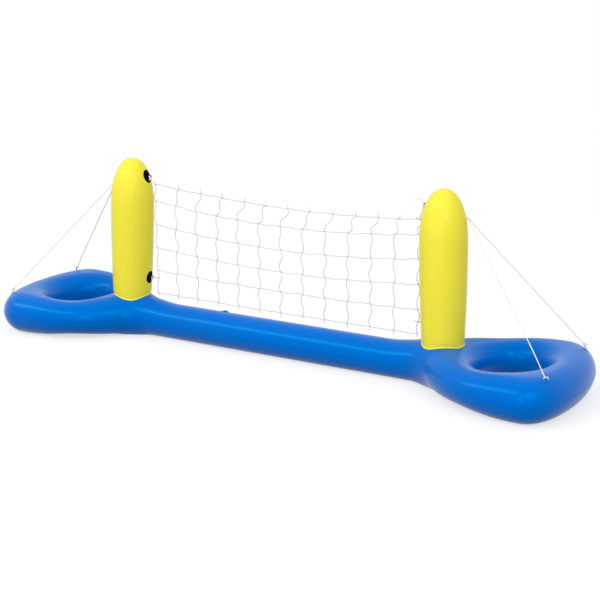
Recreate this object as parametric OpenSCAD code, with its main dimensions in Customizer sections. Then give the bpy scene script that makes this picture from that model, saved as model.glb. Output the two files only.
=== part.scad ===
// Floating volleyball set: an inflated base with a ring at each end, two inflated
// posts that stand where the rings begin, and a knotted net tied between them.
// Millimetres, +Z up, origin on the floor under the middle of the base.

/* [Base] */
// Overall length of the inflated base
base_length = 2440; // [2200:10:2700]
// Radius of the straight centre tube
tube_r = 70; // [62:1:78]
// Radius of the rings half way along their side arms
arm_r = 67; // [60:1:74]
// Radius of the rings at their root and at their outer end
end_r = 81.5; // [76:0.5:86]
// Length of a ring's centre line, from its root to its outer end
ring_length = 458.5; // [440:0.5:490]
// Half the width between the centre lines of a ring's side arms
ring_half_width = 215; // [205:1:230]
// Distance from the outer end of the centre line back to the widest point
ring_nose = 68.5; // [60:0.5:80]
// Half the length of a ring's hole
hole_length = 116; // [95:1:120]
// Half the width of a ring's hole
hole_width = 146; // [125:1:150]
// Distance of a hole's middle in from the outer end of the base
hole_inset = 271; // [262:1:280]
// Length over which the centre tube swells before it meets a ring
flare_length = 218.5; // [190:0.5:250]
// Depth of the flat strip that the weight presses on the floor
floor_flat = 2; // [1:0.5:3]
// Thickness of the welded film
film = 0.5; // [0.4:0.1:0.8]

/* [Posts] */
// Height from the floor to the top of the posts
total_height = 717; // [660:1:780]
// Distance of a post's axis outboard of the ring's root
post_offset = 8; // [0:1:15]
// Radius of a post at its shoulder
post_r = 86; // [80:0.5:90]
// How much slimmer a post's foot is than its shoulder
post_taper = 8.5; // [5:0.5:12]
// Height of a post's rounded top
dome_height = 192; // [150:1:220]
// Lean of the left post towards the net, in degrees
left_lean = 2.7; // [0:0.1:4]
// Lean of the right post towards the net, in degrees
right_lean = 1.2; // [0:0.1:4]
// Height of a post's lower edge, where its weld collar takes over
collar_top = 169; // [168:0.5:178]
// How far the collar draws in from the post's foot to the weld
collar_draw = 2.5; // [0:0.5:4]
// Width of the collar's bead on the base
collar_bead = 3; // [2:0.5:6]
// Thickness of the weld collar
collar_wall = 1; // [0.8:0.1:1.4]

/* [Patches and tabs] */
// Radius of the net patches on the posts
patch_r = 25; // [18:0.5:30]
// Thickness of the patches and of the feet of the ring tabs
patch_wall = 1; // [0.8:0.1:1.6]
// Depth of the upper net patches below the post tops
upper_patch_drop = 66; // [55:1:90]
// Height of the left post's lower net patch
left_lower_patch_z = 238; // [215:1:260]
// Height of the right post's lower net patch
right_lower_patch_z = 220; // [210:1:260]
// Depth of the guy patches below the post tops
guy_patch_drop = 101; // [90:1:140]
// Radius of the guy patches
guy_patch_r = 15; // [12:0.5:25]
// How far all patches are turned round the posts to the back, in degrees
patch_turn = 8; // [0:1:12]
// Radius of the eye in a loop
eye_r = 3; // [2.5:0.1:3.6]
// Radius of a loop's rounded end
loop_r = 5.5; // [5:0.5:7]
// Thickness of a loop
loop_wall = 2.4; // [1.6:0.2:3]
// Distance of an eye from the post's surface
eye_reach = 10; // [8:0.5:14]
// Distance of the ring tabs in from the outer end of the base
ring_tab_inset = 70; // [60:1:90]
// Distance of the ring tabs inboard of the side arms' centre lines
ring_tab_offset = 9; // [0:1:20]
// Radius of a ring tab's foot
tab_foot_r = 14; // [10:1:18]
// Height of a ring tab's eye above the base
tab_eye_rise = 19; // [14:0.5:24]

/* [Net] */
// Number of upright cords
net_columns = 13; // [9:1:15]
// Thickness of the net's cords
net_cord_d = 2.6; // [2:0.1:3]
// Thickness of the knots
knot_d = 5.6; // [5:0.1:7]
// Gap between the left post's axis and the net
net_gap_left = 133; // [110:1:150]
// Gap between the right post's axis and the net
net_gap_right = 103; // [95:1:150]
// Depth of the net's upper left corner below its patch
net_hang = 30; // [10:1:40]
// How far the head cord's knots slide along in the middle
head_slide = 34; // [0:1:40]

/* [Guy strings] */
// Thickness of the guy strings and net ties
string_d = 2.5; // [2:0.1:3]
// Radius of the stopper knots
stopper_r = 3.5; // [3.2:0.1:4.5]

/* [Valves] */
// Place of the base's valve along the base, left of the middle
base_valve_x = 255; // [120:5:320]
// Lean of the base's valve to the back, in degrees
base_valve_lean = 20; // [15:1:35]
// Height of the posts' valves
post_valve_z = 320; // [280:5:420]
// Radius of a valve's welded flange
flange_r = 17; // [14:0.5:20]
// Radius of the sleeve behind the flange
sleeve_r = 9; // [8:0.1:10]
// Depth of the sleeve below the surface
sleeve_depth = 8; // [6:0.5:10]
// Radius of the stem
stem_r = 6; // [5.5:0.1:6.8]
// Depth of the stem below the surface when it is pushed in
stem_depth = 14; // [12:0.5:18]
// Radius of the air way through the stem
air_r = 4; // [3.5:0.1:4.6]
// Radius of the stem's lip and of the plug's cap
lip_r = 8; // [7.5:0.1:9]
// Thickness of the stem's lip
lip_wall = 1.5; // [1:0.1:2]
// Thickness of the plug's cap
cap_wall = 1.6; // [1.2:0.1:2]
// Length of the plug's shank
shank_length = 8; // [6:0.5:10]
// Radial clearance of the stem in its sleeve and of the plug in the stem
valve_clearance = 0.05; // [0.03:0.01:0.1]

/* [Hidden] */
// Gap kept between soft pieces that lie on each other.
lay_gap = 0.3;
// Gap under the weld collars, which clears the base's facets.
collar_gap = 1.1;
// Gap between flat faces that close on each other.
seat_gap = 0.2;

// Landmarks of the base along X.
out_x = base_length / 2 - end_r;
ring_root_x = out_x - ring_length;
corner_x = out_x - ring_nose;
flare_x = ring_root_x - flare_length;
post_x = ring_root_x + post_offset;
hole_x = base_length / 2 - hole_inset;
// The grid of the base changes from cross rows to rays a little before the root.
row_margin = 25;
cut_x = ring_root_x - row_margin;

// Handles of the ring's centre line curves.
root_handle = [140, 197];
corner_handle = 207;
nose_handle = 53;
end_handle = 74;
// Blend depths where the rings meet the tube, and round the holes.
root_blend = 99;
hole_blend = 30;
// How fast the side of a hole stops to matter beyond a tube's radius.
hole_slope = 60;

// Mesh counts of the base: cells across, rows in the straight and flared
// stretches, rays along an arm and round a nose.
ACROSS = 9;
STRAIGHT_ROWS = 3;
FLARE_ROWS = 4;
ARM_RAYS = 14;
NOSE_RAYS = 9;
ARM_START = 0.15;
LINE_STEPS = 14;
NOSE_STEPS = 10;
PAST_AXIS = 3;
BISECTIONS = 16;

// Sizes of the posts.
shoulder_z = total_height - dome_height;
foot_r = post_r - post_taper;
dome_power = 2.2;
upper_patch_z = total_height - upper_patch_drop;
guy_patch_z = total_height - guy_patch_drop;

// Rows of the net below its upper left corner, how much lower each row is at the
// right, and how much it sags in the middle.
row_drop = [0, 66, 161, 256, 350, 444];
row_tilt = [22, 10, 5, 4, 4, 1];
row_sag = [27, 39, 37, 27, 11, 3];
last_row = len(row_drop) - 1;
net_left = -post_x + net_gap_left;
net_right = post_x - net_gap_right;
net_top_z = upper_patch_z - net_hang;

// ---------------------------------------------------------------- base surface

function clamp01(v) = min(1, max(0, v));
function smooth01(v) = let (u = clamp01(v)) u * u * (3 - 2 * u);

// Smooth maximum and minimum of two depths, blended where they differ by less than k.
function blend_max(a, b, k) = let (h = max(k - abs(a - b), 0) / k) max(a, b) + h * h * k / 4;
function blend_min(a, b, k) = -blend_max(-a, -b, k);

// A cubic curve through a and d with handles b and c, in n steps.
function curve(a, b, c, d, n) =
    [for (i = [0:n]) let (t = i / n, s = 1 - t)
        s * s * s * a + 3 * s * s * t * b + 3 * s * t * t * c + t * t * t * d];

// Centre line of a ring's arm, from the root to the corner.
function arm_line(n) = curve(
    [ring_root_x, 0],
    [ring_root_x, 0] + root_handle,
    [corner_x - corner_handle, ring_half_width],
    [corner_x, ring_half_width], n);

// Centre line of a ring's nose, from the corner to the long axis.
function nose_line(n) = curve(
    [corner_x, ring_half_width],
    [corner_x + nose_handle, ring_half_width],
    [out_x, end_handle],
    [out_x, 0], n);

// Radius of the centre tube at x.
function tube_at(x) =
    tube_r + (end_r - tube_r) * smooth01((abs(x) - flare_x) / (ring_root_x - flare_x));

// Height of the weld seam between the two sheets.
function seam_z(x) = tube_at(x) - floor_flat;

// Stretches of a round bar along line c with radius r[i] at its points.
function bar(c, r) =
    [for (i = [0:len(c) - 2]) let (d = c[i + 1] - c[i]) [c[i], d, 1 / (d * d), r[i], r[i + 1] - r[i]]];

function arm_radii(inset) =
    [for (i = [0:LINE_STEPS]) end_r + (arm_r - end_r) * pow(sin(180 * i / LINE_STEPS), 2) - inset];
function arm_bar(inset) = bar(arm_line(LINE_STEPS), arm_radii(inset));

// The nose runs on past the long axis, so that its two halves meet smoothly.
function nose_bar(inset) =
    let (
        c = nose_line(NOSE_STEPS),
        past = [for (i = [1:PAST_AXIS]) let (p = c[NOSE_STEPS - i]) [p[0], -p[1]]]
    )
    bar(concat(c, past), [for (i = [0:NOSE_STEPS + PAST_AXIS]) end_r - inset]);

// How deep p lies in a bar, as a squared half height.
function bar_depth(parts, p) = max([for (s = parts)
    let (q = p - s[0], t = clamp01(q * s[1] * s[2]), e = q - t * s[1], r = s[3] + t * s[4])
    r * r - e * e]);

// Half the width between a ring's centre lines, and the tube's radius there, by x.
function width_table() =
    let (nose = nose_line(NOSE_STEPS))
    concat(arm_line(LINE_STEPS), [for (i = [1:NOSE_STEPS]) nose[i]]);
function radius_table(inset) =
    let (line = arm_line(LINE_STEPS), radii = arm_radii(inset))
    [for (i = [0:LINE_STEPS]) [line[i][0], radii[i]]];

// Distance of p outward from the edge of a ring's oval hole.
function from_hole(p) =
    let (v = p - [hole_x, 0])
    norm(v) - norm(v) / max(norm([v[0] / hole_length, v[1] / hole_width]), 0.001);

// Squared half height of the whole inflated base at p. A ring is filled inside its
// centre line, and the hole with its rounded side is then taken out of it.
// Shape is [inset, arm bar, nose bar, width table, radius table].
function base_depth(p, shape) =
    let (
        x = abs(p[0]),
        y = abs(p[1]),
        tube = pow(tube_at(x) - shape[0], 2) - y * y - pow(max(x - ring_root_x, 0), 2)
    )
    x < flare_x ? tube :
    let (
        r = lookup(x, shape[4]),
        bars = max([for (c = [[shape[1], y], [shape[1], -y], [shape[2], y]]) bar_depth(c[0], [x, c[1]])]),
        filled = x > ring_root_x && x < out_x && y < lookup(x, shape[3]) ? max(bars, r * r) : bars,
        short = r + shape[0] - from_hole([x, y]),
        side = short > 0 ? r * r - short * short : r * r - hole_slope * short
    )
    blend_min(blend_max(tube, filled, pow(root_blend, 2)), side, pow(hole_blend, 2));

function base_shape(inset) =
    [inset, arm_bar(inset), nose_bar(inset), width_table(), radius_table(inset)];
function rise(p, shape) = sqrt(max(0, base_depth(p, shape)));

// Height of the base's upper surface at [x, y].
function top_z(p, shape) = seam_z(p[0]) + rise(p, shape);

// Distance from o along d at which the base ends, between one inside and one outside.
function edge_at(o, d, inside, outside, shape, n = BISECTIONS) =
    let (m = (inside + outside) / 2)
    n == 0 ? m :
    base_depth(o + m * d, shape) > 0 ? edge_at(o, d, m, outside, shape, n - 1) :
    edge_at(o, d, inside, m, shape, n - 1);

// ----------------------------------------------------------------- base sheets
// A sheet's grid is a run of cross rows over the centre tube and a fan of rays
// round each hole. The rays that point at the tube end on its last cross row.
// Each grid point is [x, y, half height].

ROWS = STRAIGHT_ROWS + FLARE_ROWS;
LOOP_RAYS = 2 * (ARM_RAYS + NOSE_RAYS) - 1;
RAYS = LOOP_RAYS + ACROSS + 1;
ROW_POINTS = (2 * ROWS + 1) * (ACROSS + 1);
FAN_POINTS = LOOP_RAYS * (ACROSS + 1) + (ACROSS + 1) * ACROSS;
GRID_POINTS = ROW_POINTS + 2 * FAN_POINTS;

function row_x(i) = i <= STRAIGHT_ROWS
    ? flare_x * i / STRAIGHT_ROWS
    : flare_x + (cut_x - flare_x) * (i - STRAIGHT_ROWS) / FLARE_ROWS;

function cross_row(x, shape) =
    let (w = edge_at([x, 0], [0, 1], 0, 2 * end_r, shape))
    [for (k = [0:ACROSS]) let (y = w * cos(180 * k / ACROSS))
        [x, y, k == 0 || k == ACROSS ? 0 : rise([x, y], shape)]];

// Points of one ray from the hole's edge outward. Squeeze is 1 where the ray ends
// at the base's outer edge, and 0 where it ends high up on the tube.
function ray(d, inside, end, squeeze, steps, shape) =
    let (o = [hole_x, 0], start = edge_at(o, d, inside, 0, shape))
    [for (j = [0:steps])
        let (
            both = (1 - cos(180 * j / ACROSS)) / 2,
            one = 1 - cos(90 * j / ACROSS),
            p = o + (start + (end - start) * (squeeze * both + (1 - squeeze) * one)) * d
        )
        [p[0], p[1], j == 0 || (j == ACROSS && squeeze == 1) ? 0 : rise(p, shape)]];

// A ray through a point of the ring's centre line.
function loop_ray(p, shape) =
    let (v = p - [hole_x, 0], d = v / norm(v))
    ray(d, norm(v), edge_at([hole_x, 0], d, norm(v), norm(v) + 2 * end_r, shape), 1, ACROSS, shape);

// A ray that stops one step before point k of the last cross row.
function tube_ray(p, k, shape) =
    let (v = [p[0], p[1]] - [hole_x, 0])
    ray(v / norm(v), 0.75 * norm(v), norm(v), pow(cos(180 * k / ACROSS), 4), ACROSS - 1, shape);

function flip_x(g) = [for (p = g) [-p[0], p[1], p[2]]];
function flip_y(g) = [for (p = g) [p[0], -p[1], p[2]]];

function fan(shape) =
    let (
        arm = arm_line(100),
        nose = nose_line(100),
        guides = concat(
            [for (i = [0:ARM_RAYS - 1]) arm[round(100 * (ARM_START + (1 - ARM_START) * i / (ARM_RAYS - 1)))]],
            [for (i = [1:NOSE_RAYS]) nose[round(100 * i / NOSE_RAYS)]]),
        upper = [for (g = guides) loop_ray(g, shape)],
        lower = [for (i = [len(upper) - 2:-1:0]) flip_y(upper[i])],
        row = cross_row(cut_x, shape),
        inner = [for (k = [ACROSS:-1:0]) tube_ray(row[k], k, shape)]
    )
    [for (r = concat(upper, lower, inner)) each r];

function grid(shape) =
    let (half = [for (i = [0:ROWS]) cross_row(row_x(i), shape)], ends = fan(shape))
    concat(
        [for (i = [ROWS:-1:1]) each flip_x(half[i])],
        [for (i = [0:ROWS]) each half[i]],
        ends,
        flip_x(ends));

// Grid indexes: point k of cross row i, and point j of ray a in fan f.
function row_id(i, k) = i * (ACROSS + 1) + k;
function fan_id(f, a, j) =
    let (start = ROW_POINTS + f * FAN_POINTS, inner = a - LOOP_RAYS)
    inner < 0 ? start + a * (ACROSS + 1) + j :
    j == ACROSS ? row_id(f == 0 ? 2 * ROWS : 0, ACROSS - inner) :
    start + LOOP_RAYS * (ACROSS + 1) + inner * ACROSS + j;

function quad(a, b, c, d) = [[a, b, c], [a, c, d]];
function turned(faces) = [for (f = faces) [f[2], f[1], f[0]]];
function raised(faces, n) = [for (f = faces) f + [n, n, n]];

// Faces of one grid, seen clockwise from above.
function fan_faces(f) = [for (a = [0:RAYS - 1]) let (b = (a + 1) % RAYS)
    for (j = [0:ACROSS - 1])
        each quad(fan_id(f, a, j), fan_id(f, a, j + 1), fan_id(f, b, j + 1), fan_id(f, b, j))];
function grid_faces() = concat(
    [for (i = [0:2 * ROWS - 1]) for (k = [0:ACROSS - 1])
        each quad(row_id(i, k), row_id(i + 1, k), row_id(i + 1, k + 1), row_id(i, k + 1))],
    fan_faces(0),
    turned(fan_faces(1)));

// Edges of the grid, each with the base on its right-hand side.
function grid_edges() = [
    [for (a = [RAYS - 1:-1:0]) fan_id(0, a, 0)],
    [for (a = [0:RAYS - 1]) fan_id(1, a, 0)],
    concat(
        [for (a = [0:LOOP_RAYS - 1]) fan_id(0, a, ACROSS)],
        [for (i = [2 * ROWS:-1:0]) row_id(i, ACROSS)],
        [for (a = [LOOP_RAYS - 1:-1:0]) fan_id(1, a, ACROSS)],
        [for (i = [0:2 * ROWS]) row_id(i, 0)])
];

// Strips that close the film's edge between the outer and the inner grid.
function edge_faces() = [for (loop = grid_edges()) let (n = len(loop))
    for (i = [0:n - 1]) let (a = loop[i], b = loop[(i + 1) % n])
        each quad(a, a + GRID_POINTS, b + GRID_POINTS, b)];

// One sheet of film. Up is 1 for the top sheet and -1 for the bottom one, which
// lies flat on the floor.
module sheet(up) {
    outer = grid(base_shape(0));
    inner = grid(base_shape(film));
    points = concat(
        [for (p = outer) [p[0], p[1], max(0, seam_z(p[0]) + up * p[2])]],
        [for (p = inner) [p[0], p[1], max(film, seam_z(p[0]) + up * p[2])]]);
    faces = concat(grid_faces(), turned(raised(grid_faces(), GRID_POINTS)), edge_faces());
    polyhedron(points, up > 0 ? faces : turned(faces), convexity = 6);
}

module base_top_sheet() {
    color("dodgerblue") difference() {
        sheet(1);
        at_base_valve() valve_hole();
    }
}

module base_bottom_sheet() {
    color("dodgerblue") sheet(-1);
}

// ----------------------------------------------------------------------- posts

// Radius of a post at height z.
function post_r_at(z) = z < shoulder_z
    ? post_r - post_taper * pow((shoulder_z - z) / (shoulder_z - collar_top), 2)
    : post_r * pow(1 - pow((z - shoulder_z) / dome_height, dome_power), 1 / dome_power);

// Half outline of a post, set in by inset, from its foot to its top.
function post_outline(inset) = concat(
    [for (i = [0:6]) let (z = collar_top + (shoulder_z - collar_top) * i / 6) [post_r_at(z) - inset, z]],
    [for (a = [7.5:7.5:82.5])
        [(post_r - inset) * pow(cos(a), 2 / dome_power),
            shoulder_z + (dome_height - inset) * pow(sin(a), 2 / dome_power)]],
    [[0, total_height - inset]]);

function lean_of(side) = side < 0 ? left_lean : right_lean;

// A post's own frame: its axis is Z, and it leans from its foot towards the net.
module at_post(side) {
    translate([side * post_x, 0, collar_top]) rotate([0, -side * lean_of(side), 0])
        translate([0, 0, -collar_top]) children();
}

// Where a point of a post's own frame lies on the leaned post.
function on_leaned(side, p) =
    let (a = -side * lean_of(side), h = p[2] - collar_top)
    [side * post_x + p[0] * cos(a) + h * sin(a), p[1], collar_top - p[0] * sin(a) + h * cos(a)];

module post_skin(side) {
    inner = post_outline(film);
    outline = concat(post_outline(0), [for (i = [len(inner) - 1:-1:0]) inner[i]]);
    color("gold") at_post(side) difference() {
        rotate_extrude($fn = 96) polygon(outline);
        at_post_valve() valve_hole();
    }
}

// The collar carries the post's wall down to the base, draws in a little on the way,
// and lies on the base as a narrow bead. Its upper edge leans with the post.
COLLAR_STEPS = 40;
module post_weld_collar(side) {
    shape = base_shape(0);
    lean = lean_of(side);
    weld_r = foot_r - collar_draw;
    high = function (r, a) [r * cos(a) * cos(lean), r * sin(a), collar_top + r * cos(a) * sin(lean)];
    low = function (r, a, up)
        [r * cos(a), r * sin(a), top_z([post_x + r * cos(a), r * sin(a)], shape) + collar_gap + up];
    section = [for (i = [0:COLLAR_STEPS - 1])
        let (a = 360 * i / COLLAR_STEPS)
        each [
            high(foot_r - collar_wall, a),
            high(foot_r, a),
            low(weld_r, a, collar_wall),
            low(weld_r + collar_bead, a, collar_wall),
            low(weld_r + collar_bead, a, 0),
            low(weld_r - collar_wall, a, 0)
        ]];
    faces = [for (i = [0:COLLAR_STEPS - 1]) for (k = [0:5])
        let (j = (i + 1) % COLLAR_STEPS, m = (k + 1) % 6)
        each quad(6 * i + k, 6 * j + k, 6 * j + m, 6 * i + m)];
    color("gold") mirror([side < 0 ? 1 : 0, 0, 0]) translate([post_x, 0, 0])
        polyhedron(section, faces, convexity = 6);
}

// --------------------------------------------------------------------- patches

// A strip of a post's surface round height z, lifted off the skin.
module post_band(z, half, lift, wall, steps = 10) {
    zs = [for (i = [0:steps]) z - half + 2 * half * i / steps];
    rotate_extrude($fn = 96) polygon(concat(
        [for (i = [0:steps]) [post_r_at(zs[i]) + lift + wall, zs[i]]],
        [for (i = [steps:-1:0]) [post_r_at(zs[i]) + lift, zs[i]]]));
}

// A loop's outline: a round end with an eye at place, on a foot from a to b.
module loop_outline(place, a, b, across) {
    difference() {
        union() {
            translate(place) circle(r = loop_r, $fn = 40);
            polygon([a, place - across, place + across, b]);
        }
        translate(place) circle(r = eye_r, $fn = 32);
    }
}

// A loop that stands out of a post's patch along X, with its eye across Y.
module post_loop(z) {
    root = function (dz) [post_r_at(z + dz) + lay_gap + patch_wall / 2, z + dz];
    rotate([90, 0, 0]) translate([0, 0, -loop_wall / 2]) linear_extrude(loop_wall)
        loop_outline([post_r_at(z) + eye_reach, z], root(-loop_r), root(loop_r), [0, loop_r]);
}

// A round patch with its loop, on the side of a post that faces the direction face.
module post_patch(side, z, face, r) {
    at_post(side) mirror([face < 0 ? 1 : 0, 0, 0]) rotate([0, 0, patch_turn]) {
        intersection() {
            post_band(z, r + 1, lay_gap, patch_wall);
            translate([0, 0, z]) rotate([0, 90, 0]) cylinder(r = r, h = 2 * post_r, $fn = 64);
        }
        post_loop(z);
    }
}

module net_patch(side, z) {
    color("black") post_patch(side, z, -side, patch_r);
}

module guy_patch(side) {
    color("gold") post_patch(side, guy_patch_z, side, guy_patch_r);
}

// A point near the eye of a patch: how far out of the eye, along it to the back, and up.
function near_eye(side, z, face, out, along, up) =
    let (r = post_r_at(z) + eye_reach + out, c = cos(patch_turn), s = sin(patch_turn))
    on_leaned(side, [face * (r * c - along * s), r * s + along * c, z + up]);

// ------------------------------------------------------------------- ring tabs

tab_place = [base_length / 2 - ring_tab_inset, ring_half_width - ring_tab_offset];
// The tabs lean towards the guy patches.
tab_turn = atan2(-tab_place[1], post_x + post_r - tab_place[0]);
tab_lean = 7;
function tab_eye() =
    let (z = top_z(tab_place, base_shape(0)))
    [tab_place[0] + tab_lean * cos(tab_turn), tab_place[1] + tab_lean * sin(tab_turn), z + tab_eye_rise];

// Disc that follows the top of the base round a place, and a fin with an eye.
module ring_tab(side, back) {
    shape = base_shape(0);
    steps = 16;
    lift = 2 * lay_gap;
    under = function (r, a)
        let (p = tab_place + r * [cos(a), sin(a)])
        [p[0], p[1], top_z(p, shape) + lift];
    wall = [0, 0, patch_wall];
    rings = [for (r = [tab_foot_r / 2, tab_foot_r]) for (i = [0:steps - 1]) under(r, 360 * i / steps)];
    low = concat(rings, [under(0, 0)]);
    n = len(low);
    disc = [for (i = [0:steps - 1]) let (j = (i + 1) % steps)
        each concat([[2 * steps, i, j]], quad(i, i + steps, j + steps, j))];
    rim = [for (i = [0:steps - 1]) let (a = i + steps, b = (i + 1) % steps + steps)
        each quad(a, a + n, b + n, b)];
    eye = tab_eye();
    foot = function (s) [s - tab_lean, under(s, tab_turn)[2] + patch_wall / 2];
    color("dodgerblue") mirror([side < 0 ? 1 : 0, 0, 0]) mirror([0, back < 0 ? 1 : 0, 0]) {
        polyhedron(concat(low, [for (p = low) p + wall]), concat(disc, turned(raised(disc, n)), rim));
        translate([eye[0], eye[1], 0]) rotate([90, 0, tab_turn]) translate([0, 0, -loop_wall / 2])
            linear_extrude(loop_wall)
                loop_outline([0, eye[2]], foot(-tab_foot_r / 2), foot(tab_foot_r / 2), [loop_r, 0]);
    }
}

// ------------------------------------------------------------------------- net

// Knot of upright cord c and cross row r. The head cord's knots slide to the right.
function knot(c, r) =
    let (
        f = c / (net_columns - 1),
        slide = r == 0 ? head_slide * (1 - pow(2 * f - 1, 4)) : 0
    )
    [
        net_left + (net_right - net_left) * f + slide,
        0,
        net_top_z - row_drop[r] - row_tilt[r] * f - row_sag[r] * 4 * f * (1 - f)
    ];

module strand(a, b) {
    hull() {
        translate(a) sphere(d = net_cord_d, $fn = 6);
        translate(b) sphere(d = net_cord_d, $fn = 6);
    }
}

// The upright cords and the inner cross cords, knotted together.
module net_mesh() {
    color("white") {
        for (c = [0:net_columns - 1], r = [0:last_row - 1]) strand(knot(c, r), knot(c, r + 1));
        for (r = [1:last_row - 1], c = [0:net_columns - 2]) strand(knot(c, r), knot(c + 1, r));
        for (r = [0:last_row], c = [0:net_columns - 1])
            translate(knot(c, r)) sphere(d = knot_d, $fn = 6);
    }
}

// ----------------------------------------------------------------------- cords

function unit(v) = v / norm(v);

// A round cord along a path, as one closed surface. No stretch runs along ref.
module cord(path, d, ref = [0, 0, 1], sides = 8) {
    last = len(path) - 1;
    rings = [for (i = [0:last])
        let (
            t = unit(path[min(last, i + 1)] - path[max(0, i - 1)]),
            u = unit(cross(ref, t)),
            v = cross(t, u)
        )
        for (k = [0:sides - 1]) path[i] + d / 2 * (cos(360 * k / sides) * u + sin(360 * k / sides) * v)];
    skin = [for (i = [0:last - 1]) for (k = [0:sides - 1])
        let (a = i * sides + k, b = i * sides + (k + 1) % sides)
        each quad(a, a + sides, b + sides, b)];
    start = [for (k = [1:sides - 2]) [0, k, k + 1]];
    end = [for (k = [1:sides - 2]) [last * sides, last * sides + k + 1, last * sides + k]];
    polyhedron(rings, concat(skin, start, end), convexity = 6);
}

module net_head_cord() {
    color("white") cord([for (c = [0:net_columns - 1]) knot(c, 0)], net_cord_d);
}

module net_foot_cord() {
    color("white") cord([for (c = [0:net_columns - 1]) knot(c, last_row)], net_cord_d);
}

// Distances from the middle of a loop to its stopper knot, and to the string that
// has come through its eye.
stopper_out = loop_wall / 2 + stopper_r + lay_gap;
string_out = loop_wall / 2 + string_d / 2 + lay_gap;
// Room that a string takes as it turns beside an eye.
turn_room = 0.5;

module stopper(place) {
    translate(place) sphere(r = stopper_r, $fn = 24);
}

// A tie from its stopper through a patch's eye to the place end on the net.
module net_tie(side, z, end) {
    at = function (out, along, up) near_eye(side, z, -side, out, along, up);
    color("white") {
        cord([
            at(0, stopper_out, 0),
            at(0, 0, 0),
            at(0, -string_out, 0),
            at(eye_r * 2 / 3, -string_out - turn_room, 0),
            at(loop_r + eye_r, -string_out, (end[2] - z) / 3),
            end
        ], string_d);
        stopper(at(0, stopper_out, 0));
    }
}

// Point of a side cord, share of the way down from its last knot but one.
function side_cord(c, share) = (1 - share) * knot(c, last_row - 1) + share * knot(c, last_row);

// A guy string from its stopper behind the front ring tab up through the guy patch
// and down to the back ring tab, drawn for the right-hand side.
module guy_string(side) {
    tab = tab_eye();
    at_patch = function (out, along, up)
        let (p = near_eye(side, guy_patch_z, side, out, along, up)) [side * p[0], p[1], p[2]];
    top = at_patch(0, 0, 0);
    // One half, with back as 1 or -1 for the back or the front tab.
    half = function (back)
        let (
            eye = [tab[0], back * tab[1], tab[2]],
            away = [-sin(tab_turn), back * cos(tab_turn), 0],
            climb = top - eye
        )
        [
            eye + stopper_out * away,
            eye,
            eye - string_out * away,
            eye - (string_out + turn_room) * away + 0.02 * climb,
            for (share = [0.25, 0.5, 0.75]) eye + share * climb,
            at_patch(turn_room, back * (string_out + turn_room), -2 * turn_room)
        ];
    front = half(-1);
    back = half(1);
    color("white") mirror([side < 0 ? 1 : 0, 0, 0]) {
        cord(concat(front, [top], [for (i = [len(back) - 1:-1:0]) back[i]]), string_d, [1, 0, 0]);
        stopper(front[0]);
        stopper(back[0]);
    }
}

// ---------------------------------------------------------------------- valves
// Each valve is drawn with its axis on Z and the carrying surface at z = 0.

module at_base_valve() {
    translate([-base_valve_x, 0, seam_z(0)]) rotate([-base_valve_lean, 0, 0])
        translate([0, 0, tube_r]) children();
}

// Within a post's own frame the valve looks to the back.
module at_post_valve() {
    translate([0, 0, post_valve_z]) rotate([-90, 0, 0])
        translate([0, 0, post_r_at(post_valve_z)]) children();
}

// The hole in the film that a valve's sleeve goes through.
module valve_hole() {
    translate([0, 0, -sleeve_depth]) cylinder(r = sleeve_r + lay_gap, h = 2 * sleeve_depth);
}

lip_z = lay_gap + patch_wall + 2 * seat_gap;
sleeve_top = lip_z - seat_gap;
cap_z = lip_z + lip_wall + seat_gap;

module sleeve() {
    translate([0, 0, -sleeve_depth]) cylinder(r = sleeve_r, h = sleeve_depth + sleeve_top, $fn = 48);
}

module stem_bore() {
    translate([0, 0, -2 * sleeve_depth])
        cylinder(r = stem_r + valve_clearance, h = 4 * sleeve_depth, $fn = 48);
}

module flange_disc() {
    translate([0, 0, -sleeve_depth]) cylinder(r = flange_r, h = 2 * sleeve_depth, $fn = 64);
}

module base_valve_flange() {
    color("white") difference() {
        union() {
            intersection() {
                translate([-base_valve_x, 0, seam_z(0)]) rotate([0, 90, 0]) difference() {
                    cylinder(r = tube_r + lay_gap + patch_wall, h = 3 * flange_r,
                        center = true, $fn = 96);
                    cylinder(r = tube_r + lay_gap, h = 4 * flange_r, center = true, $fn = 96);
                }
                at_base_valve() flange_disc();
            }
            at_base_valve() sleeve();
        }
        at_base_valve() stem_bore();
    }
}

module post_valve_flange(side) {
    color("white") at_post(side) difference() {
        union() {
            intersection() {
                post_band(post_valve_z, flange_r + 1, lay_gap, patch_wall, 1);
                at_post_valve() flange_disc();
            }
            at_post_valve() sleeve();
        }
        at_post_valve() stem_bore();
    }
}

// The strap's side view: out from the lip, up, and back towards the cap.
strap_w = 4;
strap_wall = 0.8;
strap_reach = 3;
module strap_outline() {
    strap_x = lip_r + lay_gap;
    strap_h = cap_z + cap_wall - lip_z;
    difference() {
        translate([lip_r - 1, lip_z]) square([1 + lay_gap + strap_reach, strap_h]);
        translate([0, lip_z + strap_wall])
            square([strap_x + strap_reach - strap_wall, strap_h - 2 * strap_wall]);
        translate([0, lip_z + strap_wall]) square([strap_x, strap_h]);
    }
}

// Stem with its lip, and the strap that leads up beside the cap.
module valve_stem() {
    color("white") difference() {
        union() {
            translate([0, 0, -stem_depth])
                cylinder(r = stem_r, h = stem_depth + lip_z + lip_wall, $fn = 48);
            translate([0, 0, lip_z]) cylinder(r = lip_r, h = lip_wall, $fn = 48);
            translate([0, strap_w / 2, 0]) rotate([90, 0, 0]) linear_extrude(strap_w) strap_outline();
        }
        translate([0, 0, -2 * stem_depth]) cylinder(r = air_r, h = 4 * stem_depth, $fn = 40);
    }
}

// Check flap that closes the stem's inner end.
flap_wall = 0.8;
module valve_flap() {
    color("white") translate([0, 0, -stem_depth - flap_wall])
        cylinder(r = stem_r, h = flap_wall, $fn = 48);
}

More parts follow.
